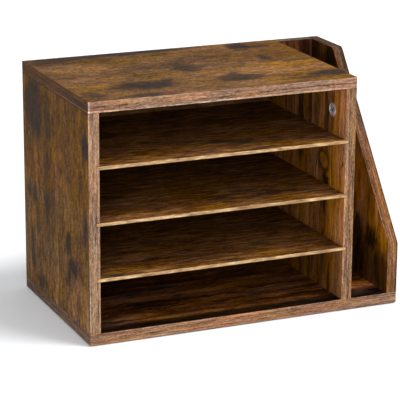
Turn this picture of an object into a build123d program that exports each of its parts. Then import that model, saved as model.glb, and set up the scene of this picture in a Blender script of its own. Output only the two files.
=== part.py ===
from build123d import *
import os

# Desk document organizer in laminated particleboard. A cabinet of four open-fronted paper compartments
# stands on the left of a full-width base. A narrow file compartment, open at its front and top, stands on
# the right.
# The boards are drawn with x from the left outer face, y from the front and z from the underside of the
# base. The finished pieces are then moved so that the origin is at the middle of the footprint, on the desk.

# Compartments
bay_width = 350.0
compartment_height = 70.0
file_bay_width = 55.0
cabinet_depth = 260.0

# Boards
board = 15.0
shelf_thickness = 5.0
back_thickness = 3.0
back_recess = 15.0
band_thickness = 0.5

# Sloping outer panel of the file compartment
outer_front_height = 86.0
outer_flat_top = 80.0
outer_corner_radius = 10.0

# Grooves and running clearances
groove_depth = 5.0
shelf_play = 0.2
shelf_end_gap = 0.5
back_play = 0.1

# Cam lock: a die-cast drum in a blind bore, which draws in the head of a bolt
cam_diameter = 14.8
cam_bore_clearance = 0.1
cam_floor = 2.8
cam_floor_gap = 0.2
cam_play = 0.2
cam_pocket_sides = 8
cam_cross_length = 9.0
cam_cross_width = 1.7
cam_cross_depth = 2.2
cam_cross_turn = 45.0

# Cam bolt
bolt_diameter = 5.0
bolt_head_diameter = 6.6
bolt_head_length = 2.4
bolt_head_offset = 1.6
bolt_passage_diameter = 8.0

# Dowels and confirmat screws
dowel_diameter = 8.0
dowel_length = 30.0
dowel_flutes = 16
screw_diameter = 5.0
screw_head_diameter = 8.5
screw_length = 40.0
screw_sink = 0.3
screw_socket_sides = 6
screw_socket = 4.0
screw_socket_depth = 2.0
hole_clearance = 0.1
hole_end_gap = 0.5
face_skin = 3.5

# Places of the fasteners
fastener_inset = 40.0
cam_drop = 37.0
file_cam_reach = 24.0
file_cam_height = 250.0
file_cam_stagger = 40.0

# Stick-on foot pads
pad_width = 20.0
pad_thickness = 1.5
pad_inset = 10.0

# Positions that follow from the sizes
shelf_names = ["lower_shelf", "middle_shelf", "upper_shelf"]
cabinet_width = bay_width + 2 * board
overall_width = cabinet_width + file_bay_width + board
shelf_step = compartment_height + shelf_thickness
top_underside = board + compartment_height + shelf_step * len(shelf_names)
top_face = top_underside + board
divider_left = cabinet_width - board
outer_left = cabinet_width + file_bay_width
back_front = cabinet_depth - back_recess - back_thickness
shelf_levels = [board + compartment_height + shelf_step * i for i in range(len(shelf_names))]
fastener_rows = [fastener_inset, cabinet_depth - fastener_inset]
dowel_row = cabinet_depth / 2
face_hole_depth = board - face_skin
dowel_edge_depth = dowel_length - face_hole_depth + 2 * hole_end_gap
file_back_mid = cabinet_depth - board / 2
file_bay_mid = cabinet_width + file_bay_width / 2

LEFT, RIGHT = (-1, 0, 0), (1, 0, 0)
DOWN, UP = (0, 0, -1), (0, 0, 1)
REARWARD = (0, 1, 0)


# Building blocks

def block(low, high):
    """A square block between two opposite corners."""
    size = [b - a for a, b in zip(low, high)]
    return Pos(*low) * Box(*size, align=(Align.MIN, Align.MIN, Align.MIN))


def hole(start, direction, diameter, depth):
    """The round space that a drill leaves, from the point where it enters."""
    drill = Cylinder(diameter / 2, depth, align=(Align.CENTER, Align.CENTER, Align.MIN))
    return Plane(origin=start, z_dir=direction) * drill


def group(pieces):
    """Identical pieces that share one name."""
    return Compound(list(pieces))


# Edge bands

def framed_board(low, high):
    """A lying board and the four strips of edge band that frame it; front and rear strips run through."""
    t = band_thickness
    core = block((low[0] + t, low[1] + t, low[2]), (high[0] - t, high[1] - t, high[2]))
    front = block(low, (high[0], low[1] + t, high[2]))
    rear = block((low[0], high[1] - t, low[2]), high)
    left = block((low[0], low[1] + t, low[2]), (low[0] + t, high[1] - t, high[2]))
    right = block((high[0] - t, low[1] + t, low[2]), (high[0], high[1] - t, high[2]))
    return core, [front, rear, left, right]


def upright_board(left):
    """A full-depth upright of the cabinet with a strip of edge band on its front and on its rear edge."""
    t = band_thickness
    low = (left, 0, board)
    high = (left + board, cabinet_depth, top_underside)
    core = block((left, t, board), (high[0], cabinet_depth - t, top_underside))
    front = block(low, (high[0], t, top_underside))
    rear = block((left, cabinet_depth - t, board), high)
    return core, [front, rear]


# Spaces cut into the boards

def shelf_grooves(inner_face, side):
    """Grooves for the shelves in an upright, open at the front; side is where its wood lies."""
    low_x, high_x = sorted([inner_face, inner_face + side * groove_depth])
    bottoms = [level - shelf_play for level in shelf_levels]
    height = shelf_thickness + 2 * shelf_play
    return [block((low_x, 0, z), (high_x, back_front - back_play, z + height)) for z in bottoms]


def back_grooves():
    """The frame of grooves that holds the back panel on its four sides."""
    behind = back_front + back_thickness + back_play
    low = (board - groove_depth, back_front - back_play, board - groove_depth)
    high = (divider_left + groove_depth, behind, top_underside + groove_depth)
    return block(low, high)


def bolt_holes(point, toward_face, reach):
    """A cam bolt's way across a joint: a blind hole in one board's face, a passage in the other's edge."""
    toward_edge = tuple(-a for a in toward_face)
    grip = hole(point, toward_face, bolt_diameter + 2 * hole_clearance, face_hole_depth)
    return [grip, hole(point, toward_edge, bolt_passage_diameter, reach)]


def dowel_holes(point, toward_face):
    """A dowel's way across a joint: a blind hole in one board's face, a deeper one in the other's edge."""
    toward_edge = tuple(-a for a in toward_face)
    peg = dowel_diameter + 2 * hole_clearance
    in_face = hole(point, toward_face, peg, face_hole_depth)
    return [in_face, hole(point, toward_edge, peg, dowel_edge_depth)]


def screw_hole(x, y):
    """A countersunk hole up through the base, and on into the edge that stands on it."""
    shank = screw_diameter + 2 * hole_clearance
    head = screw_head_diameter + 2 * (hole_clearance + screw_sink)
    mouth = Cone(head / 2, shank / 2, (head - shank) / 2, align=(Align.CENTER, Align.CENTER, Align.MIN))
    return [hole((x, y, 0), UP, shank, screw_sink + screw_length + hole_end_gap), Pos(x, y, 0) * mouth]


def cam_bore(face_point, outward):
    """The blind bore of a cam lock, from the centre of its mouth."""
    into = tuple(-a for a in outward)
    return hole(face_point, into, cam_diameter + 2 * cam_bore_clearance, board - cam_floor)


# Where each fastener stands

upright_middles = [board / 2, divider_left + board / 2]
screw_places = [(x, y) for x in upright_middles + [outer_left + board / 2] for y in fastener_rows]
top_bolt_places = [(x, y, top_underside) for x in upright_middles for y in fastener_rows]
top_cam_places = []
for y in fastener_rows:
    top_cam_places.append(((board, y, top_underside - cam_drop), RIGHT))
    top_cam_places.append(((divider_left, y, top_underside - cam_drop), LEFT))

# Each rear cam joint: the side face that the bolt crosses, the way to it, and the cam's rear centre
file_cam_joints = []
for side, toward_face, z in (
    (cabinet_width, LEFT, file_cam_height),
    (outer_left, RIGHT, file_cam_height - file_cam_stagger),
):
    cam_x = side - toward_face[0] * file_cam_reach
    file_cam_joints.append(((side, file_back_mid, z), toward_face, (cam_x, cabinet_depth, z)))

top_dowel_places = [(x, dowel_row, top_underside) for x in upright_middles]
file_dowel_place = (file_bay_mid, file_back_mid, board)

drillings = [back_grooves()]
for place in screw_places:
    drillings += screw_hole(*place)
for place in top_bolt_places:
    drillings += bolt_holes(place, UP, cam_drop)
for place in top_dowel_places:
    drillings += dowel_holes(place, UP)
drillings += dowel_holes(file_dowel_place, DOWN)
drillings += [cam_bore(point, outward) for point, outward in top_cam_places]
for place, toward_face, cam_point in file_cam_joints:
    drillings += bolt_holes(place, toward_face, file_cam_reach)
    drillings.append(cam_bore(cam_point, REARWARD))


def worked(blank, grooves=()):
    """A board with every drilling and groove that reaches into it."""
    box = blank.bounding_box()
    near = []
    for tool in drillings + list(grooves):
        reach = tool.bounding_box()
        gaps = [
            max(box.min.X - reach.max.X, reach.min.X - box.max.X),
            max(box.min.Y - reach.max.Y, reach.min.Y - box.max.Y),
            max(box.min.Z - reach.max.Z, reach.min.Z - box.max.Z),
        ]
        if max(gaps) < 0:
            near.append(tool)
    return blank - near


# Boards

def make_base():
    core, strips = framed_board((0, 0, 0), (overall_width, cabinet_depth, board))
    return {"base_panel": worked(core), "base_edge_band": group(strips)}


def make_top():
    core, strips = framed_board((0, 0, top_underside), (cabinet_width, cabinet_depth, top_face))
    return {"top_panel": worked(core), "top_edge_band": group(strips)}


def make_uprights():
    pieces = {}
    for name, left, inner_face, side in (
        ("left_side", 0, board, -1),
        ("divider", divider_left, divider_left, 1),
    ):
        core, (front, rear) = upright_board(left)
        grooves = shelf_grooves(inner_face, side)
        pieces[name + "_panel"] = worked(core, grooves)
        pieces[name + "_edge_band"] = group([front - grooves, rear])
    return pieces


def make_back():
    edge = groove_depth - hole_end_gap
    low = (board - edge, back_front, board - edge)
    high = (divider_left + edge, back_front + back_thickness, top_underside + edge)
    return {"back_panel": block(low, high)}


def outer_profile(bottom):
    """The outer panel's side view: square at the rear, sloping from a short flat top to a low front."""
    corners = [
        (0, bottom),
        (cabinet_depth, bottom),
        (cabinet_depth, top_face),
        (cabinet_depth - outer_flat_top, top_face),
        (0, outer_front_height),
    ]
    face = make_face(Plane.YZ * Polyline(*corners, close=True))
    bends = face.vertices().filter_by(lambda v: board < v.Z and v.Y < cabinet_depth - board)
    return fillet(bends, outer_corner_radius)


def make_outer_panel():
    t = band_thickness
    whole = extrude(outer_profile(board), board)
    inner = offset(outer_profile(board - t), -t, kind=Kind.INTERSECTION)
    core = extrude(inner, board)
    rear = block((0, cabinet_depth - t, board), (board, cabinet_depth, top_face - t))
    wrap = whole - core - rear
    at = Pos(outer_left, 0, 0)
    return {"file_outer_panel": worked(at * core), "file_outer_edge_band": group([at * wrap, at * rear])}


def make_file_back():
    low = (cabinet_width, cabinet_depth - board, board)
    seam = top_face - band_thickness
    core = block(low, (outer_left, cabinet_depth, seam))
    strip = block((cabinet_width, cabinet_depth - board, seam), (outer_left, cabinet_depth, top_face))
    return {"file_back_panel": worked(core), "file_back_edge_band": strip}


def make_shelves():
    edge = groove_depth - shelf_end_gap
    return {
        name: block(
            (board - edge, 0, level),
            (divider_left + edge, back_front - shelf_end_gap, level + shelf_thickness),
        )
        for name, level in zip(shelf_names, shelf_levels)
    }


# Fasteners

def cam_bolt(reach):
    """A cam bolt standing on the face that it screws into, its head down beside the middle of its cam."""
    shank = bolt_diameter / 2
    head = bolt_head_diameter / 2
    top = face_hole_depth - hole_end_gap
    head_end = bolt_head_offset - reach
    neck = head_end + bolt_head_length
    outline = [(0, head_end), (head, head_end), (head, neck), (shank, neck), (shank, top), (0, top)]
    return revolve(make_face(Plane.XZ * Polyline(*outline, close=True)), Axis.Z)


def cam_lock():
    """The drum of a cam lock, its face on the plane z = 0 and the bolt coming in along x.

    Half of the drum is hollow behind a wall. A slot through the wall passes the bolt's shank, and the lips
    above and below it hold the bolt's head. A square mouth at one end of the slot lets the head in before
    the drum is turned.
    """
    height = board - cam_floor - cam_floor_gap
    radius = cam_diameter / 2
    axis_depth = board / 2
    half_head = bolt_head_diameter / 2 + cam_play
    half_shank = bolt_diameter / 2 + cam_play
    head_corner = (bolt_head_offset + bolt_head_length) ** 2 + (bolt_head_diameter / 2) ** 2
    pocket_radius = head_corner ** 0.5 + cam_play
    drum = Cylinder(radius, height, align=(Align.CENTER, Align.CENTER, Align.MAX))
    open_half = block((0, -radius, -axis_depth - half_head), (radius, radius, -axis_depth + half_head))
    outline = RegularPolygon(pocket_radius, cam_pocket_sides, major_radius=False)
    pocket = (Pos(0, 0, -axis_depth) * extrude(outline, half_head, both=True)) & open_half
    slot = block((0, -radius, -axis_depth - half_shank), (radius, radius, -axis_depth + half_shank))
    mouth = block((-half_head, 0, -axis_depth - half_head), (half_head, radius, -axis_depth + half_head))
    cross = Rectangle(cam_cross_length, cam_cross_width) + Rectangle(cam_cross_width, cam_cross_length)
    return drum - pocket - slot - mouth - extrude(Rot(0, 0, cam_cross_turn) * cross, -cam_cross_depth)


def dowel():
    """A fluted beech dowel with its lower end on z = 0."""
    return extrude(RegularPolygon(dowel_diameter / 2, dowel_flutes), dowel_length)


def base_screw():
    """A countersunk screw, head down, with its head's flat face and hexagon socket on z = 0."""
    shank = screw_diameter / 2
    head = screw_head_diameter / 2
    outline = [(0, 0), (head, 0), (shank, head - shank), (shank, screw_length), (0, screw_length)]
    screw = revolve(make_face(Plane.XZ * Polyline(*outline, close=True)), Axis.Z)
    socket = RegularPolygon(screw_socket / 2, screw_socket_sides, major_radius=False)
    return screw - extrude(socket, screw_socket_depth)


def make_cam_joints():
    lock = cam_lock()
    top_bolt = cam_bolt(cam_drop)
    file_bolt = cam_bolt(file_cam_reach)
    return {
        "top_cam_locks": group(
            Plane(point, x_dir=UP, z_dir=outward) * lock for point, outward in top_cam_places
        ),
        "top_cam_bolts": group(Pos(*place) * top_bolt for place in top_bolt_places),
        "file_back_cam_locks": group(
            Plane(cam_point, x_dir=toward_face, z_dir=REARWARD) * lock
            for _, toward_face, cam_point in file_cam_joints
        ),
        "file_back_cam_bolts": group(
            Plane(place, z_dir=toward_face) * file_bolt for place, toward_face, _ in file_cam_joints
        ),
    }


def make_dowels():
    peg = dowel()
    in_edge = dowel_edge_depth - hole_end_gap
    x, y, z = file_dowel_place
    return {
        "top_dowels": group(Pos(px, py, pz - in_edge) * peg for px, py, pz in top_dowel_places),
        "file_back_dowel": Pos(x, y, z - face_hole_depth + hole_end_gap) * peg,
    }


def make_base_screws():
    screw = base_screw()
    return {"base_screws": group(Pos(x, y, screw_sink) * screw for x, y in screw_places)}


def make_foot_pads():
    near, far = pad_inset, pad_inset + pad_width
    places = [(x, y) for x in (near, overall_width - far) for y in (near, cabinet_depth - far)]
    pads = [block((x, y, -pad_thickness), (x + pad_width, y + pad_width, 0)) for x, y in places]
    return {"foot_pads": group(pads)}


# The organizer

pieces = {}
for make in (
    make_base,
    make_top,
    make_uprights,
    make_back,
    make_outer_panel,
    make_file_back,
    make_shelves,
    make_cam_joints,
    make_dowels,
    make_base_screws,
    make_foot_pads,
):
    pieces.update(make())

to_origin = Pos(-overall_width / 2, -cabinet_depth / 2, pad_thickness)
os.makedirs("parts", exist_ok=True)
for node, shape in pieces.items():
    export_step(to_origin * shape, f"parts/{node}.step")
    print(node, "written")
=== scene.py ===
import math
from typing import NamedTuple

import bmesh
import bpy
from mathutils import Matrix, Vector


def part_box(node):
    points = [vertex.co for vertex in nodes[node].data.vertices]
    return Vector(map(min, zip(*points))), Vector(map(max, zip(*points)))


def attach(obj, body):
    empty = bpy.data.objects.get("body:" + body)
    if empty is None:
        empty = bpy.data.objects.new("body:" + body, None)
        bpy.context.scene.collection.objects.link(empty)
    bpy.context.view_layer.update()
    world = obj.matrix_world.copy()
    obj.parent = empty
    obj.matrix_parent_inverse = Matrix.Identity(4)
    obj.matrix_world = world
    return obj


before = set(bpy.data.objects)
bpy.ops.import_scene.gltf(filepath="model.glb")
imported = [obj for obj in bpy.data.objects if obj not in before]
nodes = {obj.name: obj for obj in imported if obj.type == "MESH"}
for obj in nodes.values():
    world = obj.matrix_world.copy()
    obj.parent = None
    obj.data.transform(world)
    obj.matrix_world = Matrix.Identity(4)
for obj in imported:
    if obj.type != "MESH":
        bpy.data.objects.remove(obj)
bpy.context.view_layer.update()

# Lengths are in millimetres, and this turns them to Blender's metres. Only the studio's are in metres.
MM = 0.001


# What all finishes use

def linear(colour):
    """An sRGB hex colour as the linear colour that a shader takes."""
    shares = [int(colour[i : i + 2], 16) / 255 for i in (0, 2, 4)]
    return [s / 12.92 if s <= 0.04045 else ((s + 0.055) / 1.055) ** 2.4 for s in shares] + [1.0]


def feed(tree, node, inputs):
    """Gives a node's inputs, in order or by socket, their values or other nodes' outputs."""
    by_socket = inputs.items() if isinstance(inputs, dict) else enumerate(inputs)
    for socket, source in by_socket:
        if isinstance(source, bpy.types.NodeSocket):
            tree.links.new(source, node.inputs[socket])
        else:
            node.inputs[socket].default_value = source


def add(tree, kind, inputs=(), stops=(), **settings):
    """Adds a node with its settings, its inputs and, for a ramp, its stops.

    A Mix node has its factor on socket 0, two plain values on 2 and 3, and two colours on 6 and 7.
    """
    node = tree.nodes.new("ShaderNode" + kind)
    for name, value in settings.items():
        setattr(node, name, value)
    feed(tree, node, inputs)
    for i, (position, colour) in enumerate(stops):
        stop = node.color_ramp.elements[i] if i < 2 else node.color_ramp.elements.new(position)
        stop.position = position
        stop.color = linear(colour)
    return node


def new_finish(name):
    """An empty material and its node tree, with only the shader in it."""
    finish = bpy.data.materials.new(name)
    finish.use_nodes = True
    return finish, finish.node_tree, finish.node_tree.nodes["Principled BSDF"]


def place_on_piece(tree):
    """Where a point lies, in metres, with an output for each axis."""
    return add(tree, "SeparateXYZ", (add(tree, "TexCoord").outputs["Object"],)).outputs


def board_space(tree, order):
    """Places in millimetres, with x along the grain, y across it and z through the board."""
    place = place_on_piece(tree)
    turned = add(tree, "CombineXYZ", [place[axis] for axis in order]).outputs[0]
    return add(tree, "VectorMath", {0: turned, "Scale": 1 / MM}, operation="SCALE").outputs[0]


class Figure(NamedTuple):
    """A figure on a surface: its marks' length, width and depth, and where in the noise it starts."""
    size: tuple
    start: float = 0.0
    detail: float = 2.0
    roughness: float = 0.5


# How a start moves a figure along each axis of the noise.
START_TURN = (1.0, 0.7, 1.3)


def drawn(tree, space, figure, seed=0.0):
    """Draws a figure, which lies differently for each seed."""
    start = [(seed + figure.start) * turn for turn in START_TURN]
    lie = {0: space, "Location": start, "Scale": [1 / length for length in figure.size]}
    ground = add(tree, "Mapping", lie).outputs[0]
    noise = {0: ground, "Scale": 1, "Detail": figure.detail, "Roughness": figure.roughness}
    return add(tree, "TexNoise", noise)


def summed(tree, parts):
    """Figures with their shares, added up to one brightness that is a half on average."""
    tone = 0.5 - sum(share for _, share in parts) / 2
    for part, share in parts:
        tone = add(tree, "Math", (part, share, tone), operation="MULTIPLY_ADD").outputs[0]
    return tone


def off_middle(tree, value, middle):
    """How far a value lies from a middle one, to either side."""
    off = add(tree, "Math", (value, middle), operation="SUBTRACT").outputs[0]
    return add(tree, "Math", (off,), operation="ABSOLUTE").outputs[0]


def depth_between(tree, value, low, high):
    """How far a value lies inside the nearer of two ends."""
    from_low = add(tree, "Math", (value, low), operation="SUBTRACT").outputs[0]
    from_high = add(tree, "Math", (high, value), operation="SUBTRACT").outputs[0]
    return add(tree, "Math", (from_low, from_high), operation="MINIMUM").outputs[0]


def limits(node, axis):
    """The lowest and highest place of a node along one axis, in millimetres."""
    low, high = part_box(node)
    index = "XYZ".index(axis)
    return low[index] / MM, high[index] / MM


def shaded(tree, colour, shades):
    """Paints light and shade on a print along an axis, from nothing at start to its full share at stop.

    Each shade is an axis, start, stop and brightness, and may end with how rich the colour is there. A few
    shades change the print's own tone instead of painting light.
    """
    place = place_on_piece(tree)
    for axis, start, stop, *aims in shades:
        changed = {"Color": colour}
        for kind, aim in zip(("Value", "Saturation"), aims):
            ends = (place[axis], start * MM, stop * MM, 1.0, aim)
            changed[kind] = add(tree, "MapRange", ends, interpolation_type="SMOOTHSTEP").outputs[0]
        colour = add(tree, "HueSaturation", changed).outputs[0]
    return colour


# Marks, drifts and knots printed at chosen places

# They are printed on a board's seen face and reach this deep into the board.
PRINT_REACH = 9

# A mark or drift fades out at this many times its own size. Its edge gives where it starts, counted from
# nought at the rim to one in the middle, and where it is full.
MARK_FADE = 1.6
MARK_EDGE = (0.03, 0.58)
DRIFT_FADE = 1.5
DRIFT_EDGE = (0.05, 0.6)

# A knot's colour, and how strong it is from its rim to its pith, as greys.
KNOT_BROWN = "2a1a0e"
KNOT_RINGS = (
    (0.0, "000000"), (0.16, "a8a8a8"), (0.3, "c8c8c8"), (0.4, "f8f8f8"),
    (0.52, "707070"), (0.7, "303030"), (0.86, "505050"), (1.0, "c0c0c0"),
)


def spot(tree, space, place, reach, face):
    """A printed spot on a face: one in its middle, falling evenly to nought at its rim."""
    ends = {0: space, "Location": (*place, face), "Scale": (*reach, PRINT_REACH)}
    local = add(tree, "Mapping", ends, vector_type="TEXTURE").outputs[0]
    return add(tree, "TexGradient", (local,), gradient_type="SPHERICAL").outputs["Fac"]


def marked(tree, space, marks, face, frayed):
    """The print's dark marks: each is along, across, half length, half width and strength."""
    found = 0.0
    for along, across, length, width, strength in marks:
        soft = spot(tree, space, (along, across), (length * MARK_FADE, width * MARK_FADE), face)
        torn = add(tree, "Math", (soft, frayed), operation="MULTIPLY").outputs[0]
        ends = (torn, *MARK_EDGE, 0.0, strength)
        mark = add(tree, "MapRange", ends, interpolation_type="SMOOTHSTEP").outputs[0]
        found = add(tree, "Math", (found, mark), operation="MAXIMUM").outputs[0]
    return found


def drifted(tree, space, colour, drifts, face):
    """Broad soft drifts in the print: each is along, across, half length, half width and brightness."""
    for along, across, length, width, brightness in drifts:
        soft = spot(tree, space, (along, across), (length * DRIFT_FADE, width * DRIFT_FADE), face)
        ends = (soft, *DRIFT_EDGE, 1.0, brightness)
        share = add(tree, "MapRange", ends, interpolation_type="SMOOTHSTEP").outputs[0]
        colour = add(tree, "HueSaturation", {"Color": colour, "Value": share}).outputs[0]
    return colour


def knotted(tree, space, colour, knots, face):
    """Printed knots, with rings round a pith: each is along, across, half length and half width."""
    for along, across, length, width in knots:
        inward = spot(tree, space, (along, across), (length, width), face)
        rings = add(tree, "ValToRGB", (inward,), stops=KNOT_RINGS).outputs["Color"]
        knot = {0: rings, 6: colour, 7: linear(KNOT_BROWN)}
        colour = add(tree, "Mix", knot, data_type="RGBA").outputs[2]
    return colour


# The wood print

# Its colours run from the darkest streaks to the brightest, at these places of the brightness. They differ
# from sheet to sheet and with the light that reaches a face. Brown is the plain one of the hidden faces.
TONE_PLACES = (0.40, 0.46, 0.50, 0.54, 0.60)
BROWN = ("3e2d1e", "573e28", "6c4c2c", "815b31", "946c3c")
DUSKY = ("2c1a09", "482d0f", "5b3c16", "6b4a20", "825e30")
GOLDEN = ("5a371a", "865427", "a4692e", "b97935", "cb8e4a")
HONEY = ("663a16", "8c571b", "a46822", "b6762a", "c48638")
RUSSET = ("1e0d05", "3e1f0c", "603716", "825022", "a06e38")
AMBER = ("2a1508", "4e2e12", "6b431e", "875c2c", "a57a48")
UMBER = ("1c0d06", "2e170b", "3c1f10", "4b2a15", "61391c")

# The print's dark patches, in their thickest and thinnest colour.
CHARCOAL = ("1e1a19", "352e2d")
SLATE = ("141110", "2c2420")
CINDER = ("100805", "24140c")

# A figure changes through the board over this length, so that the two faces of a board aren't alike.
THROUGH = 24

# Each grain is made up of figures, with their size along and across it and their share. A real print's
# pores and saw marks are about 0.2 mm wide. That is too fine to show, so they are drawn 2 to 3 mm wide.
MOTTLED = (
    ((140, 26), 0.05), ((80, 10), 0.08), ((36, 6), 0.12), ((16, 4.5), 0.22), ((8, 4), 0.20), ((3, 8), 0.18),
)
PLANKED = (
    ((140, 26), 0.10), ((90, 9), 0.15), ((42, 5), 0.18), ((20, 2.8), 0.32), ((9, 1.8), 0.18), ((2, 9), 0.07),
)
SMOKED = (
    ((120, 30), 0.12), ((50, 12), 0.14), ((26, 10), 0.14), ((13, 5), 0.25), ((7, 3.5), 0.18), ((2, 9), 0.17),
)
STRIPED = (((150, 10), 0.40), ((60, 4), 0.26), ((14, 6), 0.14), ((7, 2), 0.20))

# The figures of a grain start this far apart in the noise, and share their detail and roughness.
GRAIN_STEP = 4
GRAIN_DETAIL = 3
GRAIN_ROUGHNESS = 0.6

# The first figures of a grain wander, by up to about half of the stray along, across and through. A knot
# wanders by a share of that.
WANDERING = 3
WANDER = Figure((45, 18, THROUGH))
STRAY = (40, 18, 0)
KNOT_STRAY = (0.3, 0.3, 0)

# Planks differ in hue, where 0.5 is no change, and in how rich they are.
PLANK = Figure((90, 34, THROUGH), start=37)
PLANK_SPAN = (0.36, 0.64)
PLANK_HUE = (0.494, 0.506)
PLANK_RICHNESS = (0.92, 1.08)

# Cracks are thin dark lines along the grain, drawn where a figure crosses its middle.
CRACK = Figure((26, 3, THROUGH), start=19, detail=3, roughness=0.6)
CRACK_WIDTH = 0.03
CRACK_STRENGTH = 0.34

# Dark patches have a tattered rim and smoky streaks. Wild ones lie where none are placed.
TATTER = Figure((30, 6, THROUGH), start=23, detail=4, roughness=0.65)
TATTER_GAIN = 2.8
TATTER_SHIFT = -0.4
SOOT_SPAN = (0.38, 0.62)
WILD = Figure((80, 34, 8), start=29)
WILD_EDGE = (0.60, 0.74)
WILD_STRENGTH = 0.85
SMOKE = Figure((14, 3, THROUGH), start=43, detail=3, roughness=0.6)
SMOKE_SPAN = (0.36, 0.54)
SMOKE_THICKNESS = (0.7, 1.0)


def wander(tree, space, seed):
    """How far the print strays from straight at a place."""
    noise = drawn(tree, space, WANDER, seed).outputs["Color"]
    centred = add(tree, "VectorMath", (noise, (0.5, 0.5, 0.5)), operation="SUBTRACT").outputs[0]
    return add(tree, "VectorMath", (centred, STRAY), operation="MULTIPLY").outputs[0]


def streaks(tree, space, bent, seed, grain):
    """The brightness of the print. Its broad figures wander, and its fine ones run straight."""
    parts = []
    for i, (size, share) in enumerate(grain):
        figure = Figure((*size, THROUGH), GRAIN_STEP * i, GRAIN_DETAIL, GRAIN_ROUGHNESS)
        ground = bent if i < WANDERING else space
        parts.append((drawn(tree, ground, figure, seed).outputs["Fac"], share))
    return summed(tree, parts)


def planked(tree, bent, seed, colour):
    """Turns the print's hue a little from plank to plank, and makes it richer or paler."""
    plank = drawn(tree, bent, PLANK, seed).outputs["Fac"]
    hue = add(tree, "MapRange", (plank, *PLANK_SPAN, *PLANK_HUE)).outputs[0]
    rich = add(tree, "MapRange", (plank, *PLANK_SPAN, *PLANK_RICHNESS)).outputs[0]
    return add(tree, "HueSaturation", {"Color": colour, "Hue": hue, "Saturation": rich}).outputs[0]


def cracked(tree, bent, seed, colour, dark):
    """Draws thin dark cracks along the grain."""
    crack = drawn(tree, bent, CRACK, seed).outputs["Fac"]
    ends = (off_middle(tree, crack, 0.5), 0.0, CRACK_WIDTH, CRACK_STRENGTH, 0.0)
    line = add(tree, "MapRange", ends).outputs[0]
    return add(tree, "Mix", {0: line, 6: colour, 7: linear(dark)}, data_type="RGBA").outputs[2]


def sooted(tree, space, bent, seed, colour, dark, marks, face, hidden):
    """Darkens the print in patches: the placed marks of the seen face, and wild ones on the hidden side.

    A board without marks has wild ones on both faces.
    """
    tatter = drawn(tree, space, TATTER, seed).outputs["Fac"]
    wild = drawn(tree, bent, WILD, seed).outputs["Fac"]
    ends = (wild, *WILD_EDGE, 0.0, WILD_STRENGTH)
    patch = add(tree, "MapRange", ends, interpolation_type="SMOOTHSTEP").outputs[0]
    if marks:
        fray = (tatter, TATTER_GAIN, TATTER_SHIFT)
        frayed = add(tree, "Math", fray, operation="MULTIPLY_ADD").outputs[0]
        placed = marked(tree, bent, marks, face, frayed)
        patch = add(tree, "Math", (patch, hidden), operation="MULTIPLY").outputs[0]
        patch = add(tree, "Math", (placed, patch), operation="MAXIMUM").outputs[0]
    smoke = drawn(tree, space, SMOKE, seed).outputs["Fac"]
    thick = add(tree, "MapRange", (smoke, *SMOKE_SPAN, *SMOKE_THICKNESS)).outputs[0]
    patch = add(tree, "Math", (patch, thick), operation="MULTIPLY").outputs[0]
    soot = add(tree, "ValToRGB", (tatter,), stops=zip(SOOT_SPAN, dark)).outputs["Color"]
    return add(tree, "Mix", {0: patch, 6: colour, 7: soot}, data_type="RGBA").outputs[2]


# Melamine board

# The print and its melamine skin are this thick together. Below them a cut shows the raw core: the chips
# of particleboard, or the layers of thin fibreboard.
SKIN = 0.4
CORE_PLACES = (0.3, 0.5, 0.7)
CHIPBOARD = ("8a643c", "b08a5c", "d2b48a")
FIBREBOARD = ("745a42", "ab8860", "d6b688")
CHIPS_PER_MM = 0.55
LAYER = Figure((16, 16, 3), start=41, detail=3, roughness=0.6)
CORE_ROUGHNESS = 0.95

# Pressed pores break the skin's gloss. Real ones are about 0.2 mm wide. That is too fine to show, so they
# are drawn 1.2 mm wide.
PORE = Figure((12, 1.2, THROUGH), start=31)
PORE_SPAN = (0.3, 0.7)
PORE_ROUGHNESS = (0.66, 0.52)
PORE_STRENGTH = 0.35
PORE_RELIEF = 0.25
SKIN_SPECULAR = 0.03

# From the first to the second of these depths below the seen face, the print turns to the plain brown one.
PLAIN_DEPTH = (6, 8)


def raw_core(tree, space, seed, core):
    """The colour and the relief of the core where it is cut."""
    chips = add(tree, "TexVoronoi", {0: space, "Scale": CHIPS_PER_MM}).outputs
    if core == FIBREBOARD:
        tone = drawn(tree, space, LAYER, seed).outputs["Fac"]
    else:
        tone = add(tree, "SeparateColor", (chips["Color"],)).outputs[0]
    colour = add(tree, "ValToRGB", (tone,), stops=zip(CORE_PLACES, core)).outputs["Color"]
    return colour, chips["Distance"]


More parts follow.
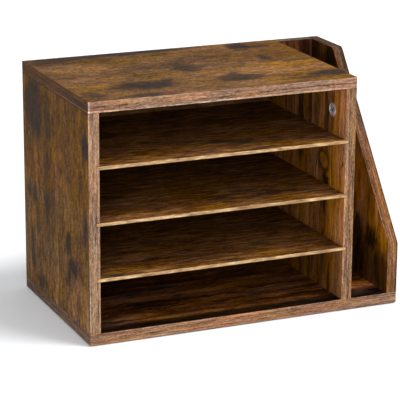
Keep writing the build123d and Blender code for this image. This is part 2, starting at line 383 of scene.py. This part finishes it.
# Melamine-faced particleboard: a wood print pressed hot on the board under a satin melamine skin. The eye
# sees a golden brown plank print with short streaks, fine saw marks and soft charcoal patches, and raw
# chips where the skin is cut through.
def melamine_board(
    node, order, seed, tones=BROWN, grain=MOTTLED, dark=CHARCOAL, core=CHIPBOARD, seen_side="high",
    marks=(), drifts=(), knots=(), shades=()
):
    """A board's finish. Order gives its axes along the grain, across it and through the board."""
    finish, tree, shader = new_finish("melamine_print_" + node)
    space = board_space(tree, order)
    low, high = limits(node, order[2])
    face, inward = (high, -1) if seen_side == "high" else (low, 1)
    through = add(tree, "SeparateXYZ", (space,)).outputs["Z"]
    turning = (face + depth * inward for depth in PLAIN_DEPTH)
    hidden = add(tree, "MapRange", (through, *turning, 0.0, 1.0)).outputs[0]
    pushed = wander(tree, space, seed)
    bent = add(tree, "VectorMath", (space, pushed), operation="ADD").outputs[0]
    eased = add(tree, "VectorMath", (pushed, KNOT_STRAY, space), operation="MULTIPLY_ADD").outputs[0]

    tone = streaks(tree, space, bent, seed, grain)
    colour = add(tree, "ValToRGB", (tone,), stops=zip(TONE_PLACES, tones)).outputs["Color"]
    colour = shaded(tree, colour, shades)
    colour = drifted(tree, bent, colour, drifts, face)
    if tones != BROWN:
        plain = add(tree, "ValToRGB", (tone,), stops=zip(TONE_PLACES, BROWN)).outputs["Color"]
        colour = add(tree, "Mix", {0: hidden, 6: colour, 7: plain}, data_type="RGBA").outputs[2]
    colour = planked(tree, bent, seed, colour)
    colour = cracked(tree, bent, seed, colour, dark[1])
    colour = knotted(tree, eased, colour, knots, face)
    colour = sooted(tree, space, bent, seed, colour, dark, marks, face, hidden)

    raw, chip_relief = raw_core(tree, space, seed, core)
    depth = depth_between(tree, through, low, high)
    cut = add(tree, "Math", (depth, SKIN), operation="GREATER_THAN").outputs[0]
    pore = drawn(tree, space, PORE, seed).outputs["Fac"]
    satin = add(tree, "MapRange", (pore, *PORE_SPAN, *PORE_ROUGHNESS)).outputs[0]
    height = add(tree, "Mix", {0: cut, 2: pore, 3: chip_relief}).outputs[0]
    relief = {"Height": height, "Strength": PORE_STRENGTH, "Distance": PORE_RELIEF * MM}
    feed(tree, shader, {
        "Base Color": add(tree, "Mix", {0: cut, 6: colour, 7: raw}, data_type="RGBA").outputs[2],
        "Roughness": add(tree, "Mix", {0: cut, 2: satin, 3: CORE_ROUGHNESS}).outputs[0],
        "Normal": add(tree, "Bump", relief).outputs[0],
        "Specular IOR Level": SKIN_SPECULAR,
    })
    return finish


# Edge tape

# Its print runs from the darkest streaks to the brightest, for each edge as the light reaches it.
FRONT_TAPE = ("432c1e", "6f523d", "84654e", "97765f", "b2917c")
DIVIDER_TAPE = ("3d2718", "624630", "78573f", "8b684e", "a68065")
TOP_TAPE = ("452e1d", "715038", "87634c", "9a735b", "b58f7b")
BASE_TAPE = ("442a19", "6d4b34", "845e45", "976f54", "b0866b")
SLOPE_TAPE = ("442616", "5c381e", "714830", "835a3e", "9c7352")
REAR_TAPE = ("35281f", "4c3b30", "5c493c", "6e5a4b", "86705f")

# The figures along the tape, and the share of those that make its streaks. The last turns the hue.
STREAK = Figure((18, 1.8, 18), detail=3, roughness=0.65)
STREAK_SHARE = 0.3
LONG_LINE = Figure((150, 2.4, 150), start=3, roughness=0.6)
LONG_LINE_SHARE = 0.25
BAND = Figure((70, 9, 70), start=5)
BAND_SHARE = 0.2
BAND_SPAN = (0.35, 0.65)
BAND_RICHNESS = (0.84, 1.12)
FLECK = Figure((4, 1.4, 4), start=9, roughness=0.6)
FLECK_SHARE = 0.25
BLUSH = Figure((60, 14, 60), start=13)
BLUSH_SPAN = (0.38, 0.62)
BLUSH_HUE = (0.499, 0.509)

# The trimmed sides: how far in each line starts to fade and ends, and how bright it is at the very side. The
# pale line is a painted highlight on the trimmed arris; the glue line is a dark joint.
HIGHLIGHT_LINE = (0.5, 1.6)
HIGHLIGHT_BRIGHTNESS = 1.4
GLUE_LINE = (0.2, 0.45)
GLUE_BRIGHTNESS = 0.3

TAPE_ROUGHNESS = 0.58
TAPE_SPECULAR = 0.04
TAPE_STRENGTH = 0.3
TAPE_RELIEF = 0.2


# Melamine edge tape: paper in the same print, ironed on and trimmed. The eye sees short streaks along the
# edge, paler than the board's faces, with a dark glue line and a painted highlight along each trimmed side.
def edge_tape(node, order, seed, tones, side, shades=()):
    """A tape's finish. Order gives its axes along, across and through, and side the one it is trimmed on."""
    finish, tree, shader = new_finish("edge_tape_" + node)
    space = board_space(tree, order)
    streak = drawn(tree, space, STREAK, seed).outputs["Fac"]
    long_line = drawn(tree, space, LONG_LINE, seed).outputs["Fac"]
    band = drawn(tree, space, BAND, seed).outputs["Fac"]
    fleck = drawn(tree, space, FLECK, seed).outputs["Fac"]
    blush = drawn(tree, space, BLUSH, seed).outputs["Fac"]
    tone = summed(tree, (
        (streak, STREAK_SHARE), (long_line, LONG_LINE_SHARE), (band, BAND_SHARE), (fleck, FLECK_SHARE),
    ))
    colour = add(tree, "ValToRGB", (tone,), stops=zip(TONE_PLACES, tones)).outputs["Color"]
    rich = add(tree, "MapRange", (band, *BAND_SPAN, *BAND_RICHNESS)).outputs[0]
    hue = add(tree, "MapRange", (blush, *BLUSH_SPAN, *BLUSH_HUE)).outputs[0]
    colour = add(tree, "HueSaturation", {"Color": colour, "Hue": hue, "Saturation": rich}).outputs[0]
    colour = shaded(tree, colour, shades)

    low, high = (limit * MM for limit in limits(node, side))
    margin = depth_between(tree, place_on_piece(tree)[side], low, high)
    glue_and_highlight = 1.0
    # A painted highlight along each trimmed arris, over the dark glue line at the very side.
    for line, brightness in ((HIGHLIGHT_LINE, HIGHLIGHT_BRIGHTNESS), (GLUE_LINE, GLUE_BRIGHTNESS)):
        start, stop = (depth * MM for depth in line)
        share = add(tree, "MapRange", (margin, start, stop, brightness, 1.0)).outputs[0]
        glue_and_highlight = add(tree, "Math", (glue_and_highlight, share), operation="MULTIPLY").outputs[0]
    colour = add(tree, "HueSaturation", {"Color": colour, "Value": glue_and_highlight}).outputs[0]
    relief = {"Height": streak, "Strength": TAPE_STRENGTH, "Distance": TAPE_RELIEF * MM}
    feed(tree, shader, {
        "Base Color": colour,
        "Roughness": TAPE_ROUGHNESS,
        "Normal": add(tree, "Bump", relief).outputs[0],
        "Specular IOR Level": TAPE_SPECULAR,
    })
    return finish


# Finishes of the fittings

# The casting's clouds, and the painted shade in the cross slot below a drum's face, which starts and is full
# at these depths.
CLOUD = Figure((2.6, 2.6, 2.6), start=2)
CAST_GREYS = ((0.4, "99989e"), (0.6, "faeee5"))
CAST_SPAN = (0.3, 0.7)
CAST_ROUGHNESS = (0.62, 0.48)
CAST_METALLIC = 0.5
CAST_STRENGTH = 0.2
CAST_RELIEF = 0.1
SLOT_SHADE = "2c2b2d"
SLOT_SHADE_DEPTH = (0.25, 0.8)


# Die-cast zinc: injected in a polished mould and left bare. The eye sees a dull silver with a faint cast
# cloudiness, and its cross slot is painted darker, as painted shade. Its cast skin scatters light, so it is
# only half a mirror.
def cast_zinc(lock, axis, open_low, open_high):
    """The drums' faces look into the room from open_low to open_high, and their slots lie beyond it."""
    finish, tree, shader = new_finish("die_cast_zinc_" + lock)
    space = board_space(tree, "XYZ")
    middle, half = (open_low + open_high) / 2, (open_high - open_low) / 2
    away = off_middle(tree, add(tree, "SeparateXYZ", (space,)).outputs[axis], middle)
    # Painted shade: the drum turns dark below its face, down in the cross slot.
    shade_depths = (half + depth for depth in SLOT_SHADE_DEPTH)
    slot_shade = add(tree, "MapRange", (away, *shade_depths)).outputs[0]
    cloud = drawn(tree, space, CLOUD).outputs["Fac"]
    silver = add(tree, "ValToRGB", (cloud,), stops=CAST_GREYS).outputs["Color"]
    slot_shaded = {0: slot_shade, 6: silver, 7: linear(SLOT_SHADE)}
    relief = {"Height": cloud, "Strength": CAST_STRENGTH, "Distance": CAST_RELIEF * MM}
    feed(tree, shader, {
        "Base Color": add(tree, "Mix", slot_shaded, data_type="RGBA").outputs[2],
        "Roughness": add(tree, "MapRange", (cloud, *CAST_SPAN, *CAST_ROUGHNESS)).outputs[0],
        "Normal": add(tree, "Bump", relief).outputs[0],
        "Metallic": CAST_METALLIC,
    })
    return finish


MOTTLE = Figure((0.8, 0.8, 0.8), start=5)
PLATE_GREYS = ((0.35, "b2b4b6"), (0.65, "cfd1d2"))
PLATE_SPAN = (0.3, 0.7)
PLATE_ROUGHNESS = (0.3, 0.2)


# Bright zinc plate on steel: electroplated after turning. The eye sees a clean, slightly blue metal with a
# faint mottle.
def zinc_plate():
    """The finish of the bolts and screws."""
    finish, tree, shader = new_finish("zinc_plated_steel")
    mottle = drawn(tree, board_space(tree, "XYZ"), MOTTLE).outputs["Fac"]
    feed(tree, shader, {
        "Base Color": add(tree, "ValToRGB", (mottle,), stops=PLATE_GREYS).outputs["Color"],
        "Roughness": add(tree, "MapRange", (mottle, *PLATE_SPAN, *PLATE_ROUGHNESS)).outputs[0],
        "Metallic": 1.0,
    })
    return finish


BEECH_FLECK = Figure((3.5, 0.5, 0.5), start=4, detail=3, roughness=0.6)
BEECH_BROWNS = ((0.36, "a9794f"), (0.48, "cfa377"), (0.7, "dcb68c"))
BEECH_ROUGHNESS = 0.7
BEECH_STRENGTH = 0.3
BEECH_RELIEF = 0.1


# Beech dowel rod: turned and left bare. The eye sees pale pinkish wood with short brown flecks along the
# rod.
def bare_beech():
    """The finish of the dowels, which stand upright."""
    finish, tree, shader = new_finish("bare_beech")
    fleck = drawn(tree, board_space(tree, "ZXY"), BEECH_FLECK).outputs["Fac"]
    relief = {"Height": fleck, "Strength": BEECH_STRENGTH, "Distance": BEECH_RELIEF * MM}
    feed(tree, shader, {
        "Base Color": add(tree, "ValToRGB", (fleck,), stops=BEECH_BROWNS).outputs["Color"],
        "Roughness": BEECH_ROUGHNESS,
        "Normal": add(tree, "Bump", relief).outputs[0],
    })
    return finish


# The foam's pores are a little over half a millimetre wide.
PORES_PER_MM = 1.4
FOAM_BLACKS = ((0.0, "2a2a2a"), (0.3, "141414"))
FOAM_ROUGHNESS = 0.9
FOAM_STRENGTH = 0.5
FOAM_RELIEF = 0.2


# Closed-cell foam rubber, die-cut from sheet. The eye sees a matt black pad with fine open pores.
def foam_rubber():
    """The finish of the foot pads."""
    finish, tree, shader = new_finish("foam_rubber")
    cells = {0: board_space(tree, "XYZ"), "Scale": PORES_PER_MM}
    pores = add(tree, "TexVoronoi", cells, feature="DISTANCE_TO_EDGE").outputs["Distance"]
    relief = {"Height": pores, "Strength": FOAM_STRENGTH, "Distance": FOAM_RELIEF * MM}
    feed(tree, shader, {
        "Base Color": add(tree, "ValToRGB", (pores,), stops=FOAM_BLACKS).outputs["Color"],
        "Roughness": FOAM_ROUGHNESS,
        "Normal": add(tree, "Bump", relief).outputs[0],
    })
    return finish


# Dressing a piece

# Corners that lie closer than the join distance are merged. An edge that turns by more than the arris
# angle, in degrees, is then broken by one of the widths.
JOIN_DISTANCE = 0.002
ARRIS_ANGLE = 40
ARRIS_SEGMENTS = 2
BOARD_ARRIS = 0.15
TAPE_ARRIS = 0.12
REAR_ARRIS = 0.1
SHELF_ARRIS = 0.2
PAD_ARRIS = 0.3


def dress(node, finish, arris=0.0):
    """Gives a CAD node its finish, and breaks its arrises by that width."""
    piece = nodes[node]
    piece.data.materials.clear()
    piece.data.materials.append(finish)
    if arris:
        weld = piece.modifiers.new("join_faces", "WELD")
        weld.merge_threshold = JOIN_DISTANCE * MM
        ease = piece.modifiers.new("eased_arris", "BEVEL")
        ease.width = arris * MM
        ease.segments = ARRIS_SEGMENTS
        ease.limit_method = "ANGLE"
        ease.angle_limit = math.radians(ARRIS_ANGLE)
        ease.profile = 0.5
        ease.material = -1


# The marks, drifts, knots and shades below were chosen one by one, after the photograph. A mark,
# drift or knot starts with its place along and across the grain.

# Top board

TOP_MARKS = (
    (-105, 121, 120, 10, 0.85),
    (-190, 112, 34, 17, 0.7),
    (-72, 127, 55, 7, 1.0),
    (88, 106, 15, 20, 1.0),
    (112, 98, 20, 9, 0.7),
    (-36, 9, 15, 21, 0.85),
    (-80, 22, 40, 9, 0.5),
    (91, 28, 10, 12, 0.85),
    (-120, -68, 44, 21, 0.95),
    (10, -75, 28, 14, 0.88),
    (14, -54, 9, 14, 0.7),
    (38, -72, 14, 8, 0.7),
    (138, -92, 28, 14, 1.0),
    (82, -107, 34, 5, 0.7),
    (-140, -121, 26, 9, 0.8),
    (-115, -14, 8, 7, 0.6),
    (-205, -100, 8, 16, 0.5),
)
TOP_DRIFTS = (
    (-160, 98, 60, 22, 0.62),
    (-52, 104, 40, 12, 0.75),
    (30, 92, 26, 16, 0.8),
    (110, 45, 42, 28, 0.78),
    (8, 54, 46, 22, 0.7),
    (-60, 36, 55, 10, 0.82),
    (-205, 10, 25, 20, 0.78),
    (-120, 0, 42, 14, 0.8),
    (118, 4, 40, 11, 0.82),
    (-213, -112, 20, 16, 0.7),
    (-165, 46, 50, 24, 1.25),
    (52, 108, 34, 15, 1.2),
    (100, -40, 66, 32, 1.65),
    (0, -30, 40, 22, 1.25),
    (-48, 0, 14, 18, 1.25),
    (22, -101, 40, 14, 1.45),
    (-190, -35, 34, 26, 1.2),
    (-65, -50, 20, 34, 1.15),
    (-3, -54, 18, 12, 1.25),
    (-135, -22, 30, 14, 1.15),
    (-213, 38, 20, 12, 0.82),
    (-115, 62, 34, 18, 0.78),
    (90, -118, 64, 10, 1.2),
)
TOP_SHADES = (("X", 20, 140, 1.0, 1.1),)
# Painted light on the top's tape: a painted highlight along its lower arris and at its front left corner,
# and painted shade on its left end, which faces away from the key light.
TOP_TAPE_SHADES = (
    ("Z", 314.2, 313.2, 1.35, 0.82), ("X", -222.0, -223.0, 1.55, 0.62), ("X", -224.5, -224.8, 0.165, 2.2),
)

top_finish = melamine_board(
    "top_panel", "XYZ", seed=1.7, marks=TOP_MARKS, drifts=TOP_DRIFTS, shades=TOP_SHADES
)
top_tape = edge_tape("top_edge_band", "XZY", seed=3.3, tones=TOP_TAPE, side="Z", shades=TOP_TAPE_SHADES)
dress("top_panel", top_finish, BOARD_ARRIS)
dress("top_edge_band", top_tape, TAPE_ARRIS)


# Base board

BASE_DRIFTS = ((190, -83, 26, 15, 3.6), (-196, -96, 22, 30, 0.6), (206, -112, 22, 12, 0.3))
BASE_SHADES = (("Y", -102, -113, 0.08),)
# Painted shade on the base tape's left end, and on both ends towards the rear.
BASE_TAPE_SHADES = (("X", -224.3, -224.6, 0.63, 0.85), ("Y", -20, 110, 0.66))

base_finish = melamine_board(
    "base_panel", "XYZ", seed=8.3, tones=RUSSET, grain=STRIPED, drifts=BASE_DRIFTS, shades=BASE_SHADES
)
base_tape = edge_tape("base_edge_band", "XZY", seed=9.1, tones=BASE_TAPE, side="Z", shades=BASE_TAPE_SHADES)
dress("base_panel", base_finish, BOARD_ARRIS)
dress("base_edge_band", base_tape, TAPE_ARRIS)


# Left side board

LEFT_MARKS = (
    (272, 84, 40, 30, 0.9),
    (270, 26, 30, 9, 0.6),
    (264, -118, 16, 13, 1.0),
    (205, 34, 16, 10, 0.6),
    (156, 106, 11, 7, 0.85),
    (148, 85, 14, 9, 0.85),
    (150, -115, 20, 9, 0.8),
    (119, -53, 14, 8, 0.95),
    (90, -68, 10, 18, 0.9),
    (74, -54, 12, 8, 0.8),
    (68, 97, 24, 8, 0.75),
    (30, 58, 9, 20, 0.7),
    (146, 30, 22, 10, 0.5),
    (123, -50, 9, 4, 1.0),
    (84, -72, 5, 10, 1.0),
    (72, -55, 6, 4, 1.0),
    (258, -122, 9, 7, 1.0),
)
LEFT_DRIFTS = (
    (275, 46, 34, 12, 0.72),
    (232, 34, 26, 18, 0.78),
    (145, 32, 38, 14, 0.72),
    (145, 4, 30, 12, 0.7),
    (105, 60, 20, 26, 0.85),
    (195, 76, 24, 12, 1.3),
    (178, 100, 16, 10, 1.25),
    (262, -22, 26, 16, 0.85),
    (205, -12, 40, 34, 1.25),
    (205, -92, 38, 18, 1.15),
    (280, -60, 24, 24, 0.92),
    (100, 84, 30, 14, 1.25),
    (110, -14, 30, 12, 1.25),
    (150, -60, 24, 22, 1.2),
    (48, 5, 24, 40, 1.35),
    (40, -90, 34, 40, 1.45),
)
# Painted light and shade on the left face: painted floor bounce light towards the bottom and the front, and
# painted shade towards the top. The rest lighten a strip at the rear edge, draw a dark joint line under the
# top, and make the colour paler low down and richer higher up.
LEFT_SHADES = (
    ("Z", 90, 10, 1.2), ("Y", -40, -120, 1.1), ("Z", 240, 300, 0.92), ("Y", 119, 122, 1.2),
    ("Z", 309, 310.8, 0.5), ("Z", 130, 70, 1.0, 0.94), ("Z", 150, 210, 1.0, 1.14),
)

left_finish = melamine_board(
    "left_side_panel", "ZYX", seed=4.1, tones=DUSKY, grain=SMOKED, dark=SLATE, seen_side="low",
    marks=LEFT_MARKS, drifts=LEFT_DRIFTS, shades=LEFT_SHADES
)
left_tape = edge_tape("left_side_edge_band", "ZXY", seed=14.2, tones=FRONT_TAPE, side="X")
dress("left_side_panel", left_finish, BOARD_ARRIS)
dress("left_side_edge_band", left_tape, TAPE_ARRIS)


# Divider

DIVIDER_MARKS = (
    (262, -72, 36, 5, 0.8),
    (262, -44, 44, 6, 0.6),
    (262, -22, 44, 5, 0.8),
    (240, 5, 60, 8, 0.9),
    (172, -74, 12, 11, 0.95),
    (142, -75, 13, 7, 0.85),
    (206, -126, 4, 2.5, 1.0),
    (60, -70, 40, 5, 0.6),
)
DIVIDER_DRIFTS = ((262, -106, 34, 10, 1.3), (165, -95, 22, 12, 1.15))
# Painted shade on the divider's face towards the bottom and the rear of the compartments, and painted light
# towards the top.
DIVIDER_SHADES = (("Z", 105, 75, 0.55), ("Y", -108, -80, 0.8), ("Z", 250, 295, 1.28, 1.02))
DIVIDER_TAPE_SHADES = (("X", 146, 144.5, 1.3),)

# The one knot that shows lies on the divider's face in the paper compartments.
DIVIDER_KNOTS = ((198, -67, 20, 24),)

divider_finish = melamine_board(
    "divider_panel", "ZYX", seed=12.9, tones=GOLDEN, grain=STRIPED, dark=CINDER, seen_side="low",
    marks=DIVIDER_MARKS, drifts=DIVIDER_DRIFTS, knots=DIVIDER_KNOTS, shades=DIVIDER_SHADES
)
divider_tape = edge_tape(
    "divider_edge_band", "ZXY", seed=19.2, tones=DIVIDER_TAPE, side="X", shades=DIVIDER_TAPE_SHADES
)
dress("divider_panel", divider_finish, BOARD_ARRIS)
dress("divider_edge_band", divider_tape, TAPE_ARRIS)


# Sloping outer board of the file compartment

OUTER_MARKS = (
    (82, -42, 22, 12, 0.8),
    (83, -80, 17, 17, 1.0),
    (56, -42, 24, 8, 0.9),
    (44, -52, 20, 8, 0.8),
    (300, 62, 30, 22, 1.0),
    (310, 105, 30, 14, 0.9),
)
OUTER_DRIFTS = ((160, -44, 46, 14, 2.0), (130, -84, 24, 12, 1.2), (38, -118, 28, 36, 0.35))
# Painted shade on the outer board's inner face, deep in the compartment towards the bottom and the rear. It
# is also darker towards the top.
OUTER_SHADES = (("Z", 95, 62, 0.4), ("Y", -112, -70, 0.6), ("Z", 270, 300, 0.4))
# Painted shade along the tape's outer arris. The others darken it towards the rear of the flat top, low on
# the lip and high on the slope.
SLOPE_TAPE_SHADES = (
    ("Y", 38, 52, 0.8), ("X", 222.3, 224, 0.4), ("Z", 70, 50, 0.8), ("Z", 245, 275, 0.74),
    ("Z", 284, 300, 0.7, 0.94),
)

outer_finish = melamine_board(
    "file_outer_panel", "ZYX", seed=19.4, tones=HONEY, grain=STRIPED, dark=CINDER, seen_side="low",
    marks=OUTER_MARKS, drifts=OUTER_DRIFTS, shades=OUTER_SHADES
)
slope_tape = edge_tape(
    "file_outer_edge_band", "ZXY", seed=24.2, tones=SLOPE_TAPE, side="X", shades=SLOPE_TAPE_SHADES
)
dress("file_outer_panel", outer_finish, BOARD_ARRIS)
dress("file_outer_edge_band", slope_tape)


# Back board of the file compartment

# A painted highlight: a pale strip at the back board's right end, where it meets the outer board.
FILE_BACK_SHADES = (("X", 205.3, 206.3, 2.2),)

file_back_finish = melamine_board(
    "file_back_panel", "ZXY", seed=25.2, tones=UMBER, grain=STRIPED, dark=CINDER, seen_side="low",
    shades=FILE_BACK_SHADES
)
file_back_tape = edge_tape("file_back_edge_band", "XYZ", seed=30.2, tones=REAR_TAPE, side="Y")
dress("file_back_panel", file_back_finish, BOARD_ARRIS)
dress("file_back_edge_band", file_back_tape, REAR_ARRIS)


# Thin back panel and shelves

SHELF_SEED = 37.0
SHELF_SEED_STEP = 6

dress("back_panel", melamine_board("back_panel", "XZY", seed=31.5, grain=PLANKED), REAR_ARRIS)
for i, shelf in enumerate(("lower_shelf", "middle_shelf", "upper_shelf")):
    shelf_seed = SHELF_SEED + SHELF_SEED_STEP * i
    shelf_finish = melamine_board(shelf, "XYZ", shelf_seed, tones=AMBER, grain=PLANKED, core=FIBREBOARD)
    dress(shelf, shelf_finish, SHELF_ARRIS)


# Fittings

# The cam locks behind the file compartment look out to the rear, where their room has no far end.
OPEN_ROOM = 1000

left_face, right_face = limits("left_side_panel", "X")[1], limits("divider_panel", "X")[0]
rear_face = limits("file_back_panel", "Y")[1]
top_zinc = cast_zinc("top_cam_locks", "X", left_face, right_face)
file_back_zinc = cast_zinc("file_back_cam_locks", "Y", rear_face, rear_face + OPEN_ROOM)
steel = zinc_plate()
beech = bare_beech()
dress("top_cam_locks", top_zinc)
dress("file_back_cam_locks", file_back_zinc)
for fastener in ("top_cam_bolts", "file_back_cam_bolts", "base_screws"):
    dress(fastener, steel)
for peg in ("top_dowels", "file_back_dowel"):
    dress(peg, beech)
dress("foot_pads", foam_rubber(), PAD_ARRIS)


# Rims of the cam locks under the top

# The radius is that of the rim's middle line.
RIM_RADIUS = 8.5
RIM_WIDTH = 1.9
RIM_HEIGHT = 0.8
RIM_CORNERS = 12
RIM_STEPS = 40
RIM_JOIN = 0.001


def cam_rim(shape, place):
    """Spins one rim round an upright axis at the origin, and brings it to its place on a board."""
    section = bmesh.ops.create_circle(shape, segments=RIM_CORNERS, radius=1)["verts"]
    for corner in section:
        across, up = corner.co.x * RIM_WIDTH / 2, max(corner.co.y, 0) * RIM_HEIGHT
        corner.co = Vector((RIM_RADIUS + across, 0, up)) * MM
    edge = list(section) + [e for e in shape.edges if e.verts[0] in section]
    bmesh.ops.spin(
        shape, geom=edge, cent=(0, 0, 0), axis=(0, 0, 1), angle=math.tau, steps=RIM_STEPS, use_merge=True
    )
    for corner in shape.verts:
        if not corner.tag:
            corner.co = place @ corner.co
            corner.tag = True


def cam_rims():
    """The rounded rims of the four cam locks under the top, which cover the edges of their bores."""
    shape = bmesh.new()
    lowest, highest = limits("top_cam_locks", "Z")
    front, rear = limits("top_cam_locks", "Y")
    drum_radius = (highest - lowest) / 2
    for board_face, inward in ((left_face, 1), (right_face, -1)):
        turn = Matrix.Rotation(math.radians(90 * inward), 4, "Y")
        for depth in (front + drum_radius, rear - drum_radius):
            middle = Vector((board_face, depth, lowest + drum_radius)) * MM
            cam_rim(shape, Matrix.Translation(middle) @ turn)
    bmesh.ops.remove_doubles(shape, verts=shape.verts, dist=RIM_JOIN * MM)
    bmesh.ops.recalc_face_normals(shape, faces=shape.faces)
    mesh = bpy.data.meshes.new("cam_rims")
    shape.to_mesh(mesh)
    shape.free()
    mesh.shade_smooth()
    piece = bpy.data.objects.new("cam_rims", mesh)
    bpy.context.scene.collection.objects.link(piece)
    mesh.materials.append(top_zinc)
    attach(piece, "carcass")


cam_rims()


# Studio

FLOOR_SIZE = 12
FLOOR_WHITE = "f3f5f8"
FLOOR_ROUGHNESS = 0.95

# How bright the white surroundings are on average, and how much brighter they get towards the front.
ROOM_GLOW = 0.69
ROOM_LEAN = 0.45
TOWARDS_FRONT = (0.05, -0.95, 0.27)

# Each light's name, its energy, how wide it looks in degrees, and where it comes from.
LAMPS = (
    ("key", 1.75, 20, (0.36, -0.30, 0.88)),
    ("fill", 0.85, 50, (-0.42, -0.88, 0.22)),
)

# The camera was fitted to the object's corners in the photograph: its film and lens in millimetres, its
# place, and its turn in degrees.
FILM_WIDTH = 36
LENS = 176.29
FAR_END = 100
EYE = (-1.04199, -2.3741, 0.90501)
EYE_TURN = (73.5244, -0.2985, -23.3076)


def studio_floor():
    """A wide, plain, pale floor."""
    shape = bmesh.new()
    bmesh.ops.create_grid(shape, x_segments=1, y_segments=1, size=FLOOR_SIZE)
    mesh = bpy.data.meshes.new("studio_floor")
    shape.to_mesh(mesh)
    shape.free()
    floor = bpy.data.objects.new("studio_floor", mesh)
    bpy.context.scene.collection.objects.link(floor)
    finish, tree, shader = new_finish("matt_white_paint")
    paint = {"Base Color": linear(FLOOR_WHITE), "Roughness": FLOOR_ROUGHNESS, "Specular IOR Level": 0.0}
    feed(tree, shader, paint)
    mesh.materials.append(finish)


def white_room():
    """White surroundings, brighter before the open front."""
    world = bpy.data.worlds.new("white_room")
    world.use_nodes = True
    tree = world.node_tree
    towards = add(tree, "TexCoord").outputs["Generated"]
    facing = add(tree, "VectorMath", (towards, TOWARDS_FRONT), operation="DOT_PRODUCT").outputs["Value"]
    glow = add(tree, "Math", (facing, ROOM_LEAN, ROOM_GLOW), operation="MULTIPLY_ADD").outputs[0]
    feed(tree, tree.nodes["Background"], {"Color": (1, 1, 1, 1), "Strength": glow})
    bpy.context.scene.world = world


def studio_lamps():
    """A soft key light from high up at the front right, and a fill light from the front left."""
    for name, energy, spread, towards in LAMPS:
        light = bpy.data.lights.new(name, "SUN")
        light.energy = energy
        light.angle = math.radians(spread)
        lamp = bpy.data.objects.new(name, light)
        lamp.rotation_euler = Vector(towards).to_track_quat("Z", "Y").to_euler()
        bpy.context.scene.collection.objects.link(lamp)


def camera():
    """The photograph's camera: a long lens at the front left, looking down a little."""
    lens = bpy.data.cameras.new("camera")
    lens.sensor_width = FILM_WIDTH
    lens.lens = LENS
    lens.clip_end = FAR_END
    eye = bpy.data.objects.new("camera", lens)
    eye.location = EYE
    eye.rotation_euler = [math.radians(turn) for turn in EYE_TURN]
    bpy.context.scene.collection.objects.link(eye)
    bpy.context.scene.camera = eye


studio_floor()
white_room()
studio_lamps()
camera()
bpy.context.scene.view_settings.view_transform = "Standard"
